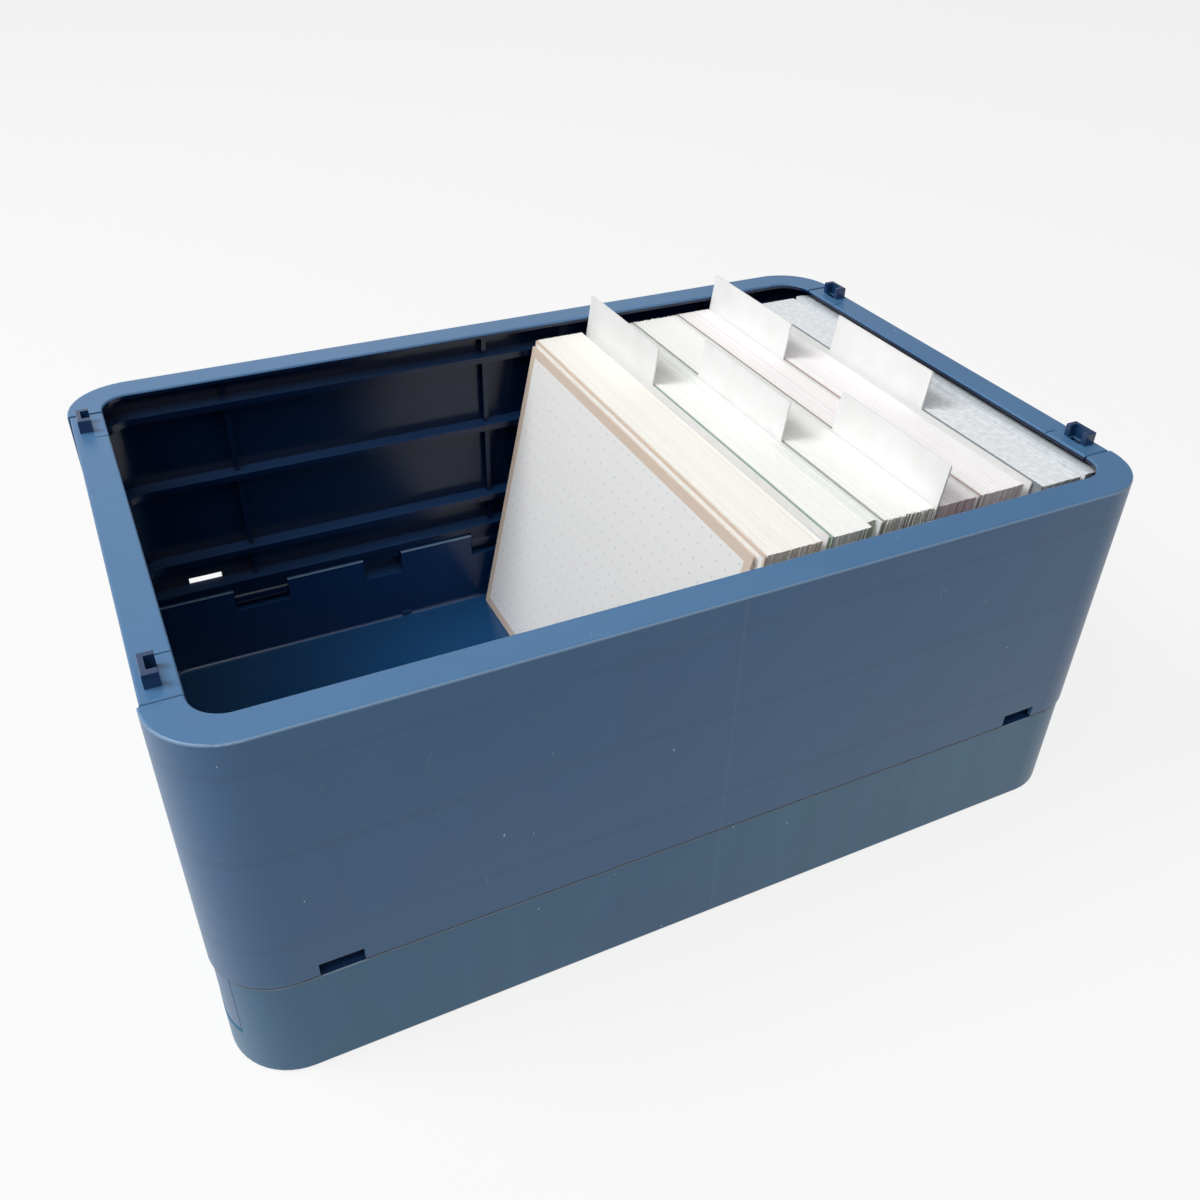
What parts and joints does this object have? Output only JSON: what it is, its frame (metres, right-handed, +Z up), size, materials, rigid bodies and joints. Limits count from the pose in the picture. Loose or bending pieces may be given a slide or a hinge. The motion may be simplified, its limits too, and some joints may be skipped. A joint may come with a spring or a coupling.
{
  "type": "folding flashcard box",
  "caption": "Open folding plastic box for index cards: base tray, hinged long and end walls with rim hooks, leaning card packs and tab dividers that lift out.",
  "frame": {"origin": "middle of the underside of the base tray", "axes": "+X along the long side towards the end wall that the cards lean on, +Y from the front wall to the back wall, +Z up"},
  "size_m": [0.27, 0.178, 0.1225],
  "materials": {
    "base_plastic": "satin navy, fine grain",
    "wall_plastic": "satin navy, fine grain",
    "dot_card": "uncoated off-white with a printed dot grid",
    "tan_card": "uncoated with a tan border",
    "divider_card": "smooth white board",
    "green_card": "uncoated, pale green",
    "dark_card": "uncoated, dark grey",
    "pack_1_card": "cut edges of stacked cards",
    "pack_2_card": "cut edges of stacked cards",
    "pack_3_card": "cut edges of stacked cards",
    "pack_4_card": "cut edges of stacked cards",
    "pack_5_card": "cut edges of stacked cards",
    "pack_6_card": "cut edges of stacked cards"
  },
  "bodies": {
    "base": {"base_tray": "base_plastic", "rear_cards": "dark_card"},
    "back_wall": {"back_wall": "wall_plastic"},
    "front_wall": {"front_wall": "wall_plastic"},
    "left_end_wall": {"left_end_wall": "wall_plastic"},
    "right_end_wall": {"right_end_wall": "wall_plastic"},
    "dot_grid_card": {"dot_grid_card": "dot_card"},
    "tan_border_card": {"tan_border_card": "tan_card"},
    "card_pack_1": {"card_pack_1": "pack_1_card"},
    "tab_divider_1": {"tab_divider_1": "divider_card"},
    "card_pack_2": {"card_pack_2": "pack_2_card"},
    "short_cards": {"short_cards": "green_card"},
    "tab_divider_2": {"tab_divider_2": "divider_card"},
    "card_pack_3": {"card_pack_3": "pack_3_card"},
    "tab_divider_3": {"tab_divider_3": "divider_card"},
    "card_pack_4": {"card_pack_4": "pack_4_card"},
    "tab_divider_4": {"tab_divider_4": "divider_card"},
    "card_pack_5": {"card_pack_5": "pack_5_card"},
    "tab_divider_5": {"tab_divider_5": "divider_card"},
    "card_pack_6": {"card_pack_6": "pack_6_card"}
  },
  "joints": [
    {"name": "left_end_fold", "type": "hinge", "parent": "base", "child": "left_end_wall", "pos_m": [-0.1275, 0, 0.0167], "axis": [0, 1, 0], "range_deg": [0, 94]},
    {"name": "right_end_play", "type": "hinge", "parent": "base", "child": "right_end_wall", "pos_m": [0.1275, 0, 0.0167], "axis": [0, -1, 0], "range_deg": [0, 0.3]},
    {"name": "back_wall_play", "type": "hinge", "parent": "base", "child": "back_wall", "pos_m": [0, 0.0836, 0.0296], "axis": [1, 0, 0], "range_deg": [0, 0.2]},
    {"name": "front_wall_play", "type": "hinge", "parent": "base", "child": "front_wall", "pos_m": [0, -0.0836, 0.0296], "axis": [-1, 0, 0], "range_deg": [0, 0.2]},
    {"name": "dot_grid_card_lift", "type": "slide", "parent": "base", "child": "dot_grid_card", "axis": [0.1392, 0, 0.9903], "range_m": [0, 0.12]},
    {"name": "tan_border_card_lift", "type": "slide", "parent": "base", "child": "tan_border_card", "axis": [0.1392, 0, 0.9903], "range_m": [0, 0.12]},
    {"name": "card_pack_1_lift", "type": "slide", "parent": "base", "child": "card_pack_1", "axis": [0.1392, 0, 0.9903], "range_m": [0, 0.12]},
    {"name": "tab_divider_1_lift", "type": "slide", "parent": "base", "child": "tab_divider_1", "axis": [0.1392, 0, 0.9903], "range_m": [0, 0.12]},
    {"name": "card_pack_2_lift", "type": "slide", "parent": "base", "child": "card_pack_2", "axis": [0.1392, 0, 0.9903], "range_m": [0, 0.12]},
    {"name": "short_cards_lift", "type": "slide", "parent": "base", "child": "short_cards", "axis": [0.1392, 0, 0.9903], "range_m": [0, 0.12]},
    {"name": "tab_divider_2_lift", "type": "slide", "parent": "base", "child": "tab_divider_2", "axis": [0.1392, 0, 0.9903], "range_m": [0, 0.12]},
    {"name": "card_pack_3_lift", "type": "slide", "parent": "base", "child": "card_pack_3", "axis": [0.1392, 0, 0.9903], "range_m": [0, 0.12]},
    {"name": "tab_divider_3_lift", "type": "slide", "parent": "base", "child": "tab_divider_3", "axis": [0.1392, 0, 0.9903], "range_m": [0, 0.12]},
    {"name": "card_pack_4_lift", "type": "slide", "parent": "base", "child": "card_pack_4", "axis": [0.1392, 0, 0.9903], "range_m": [0, 0.12]},
    {"name": "tab_divider_4_lift", "type": "slide", "parent": "base", "child": "tab_divider_4", "axis": [0.1392, 0, 0.9903], "range_m": [0, 0.12]},
    {"name": "card_pack_5_lift", "type": "slide", "parent": "base", "child": "card_pack_5", "axis": [0.1392, 0, 0.9903], "range_m": [0, 0.12]},
    {"name": "tab_divider_5_lift", "type": "slide", "parent": "base", "child": "tab_divider_5", "axis": [0.1392, 0, 0.9903], "range_m": [0, 0.12]},
    {"name": "card_pack_6_lift", "type": "slide", "parent": "base", "child": "card_pack_6", "axis": [0.1392, 0, 0.9903], "range_m": [0, 0.12]}
  ]
}
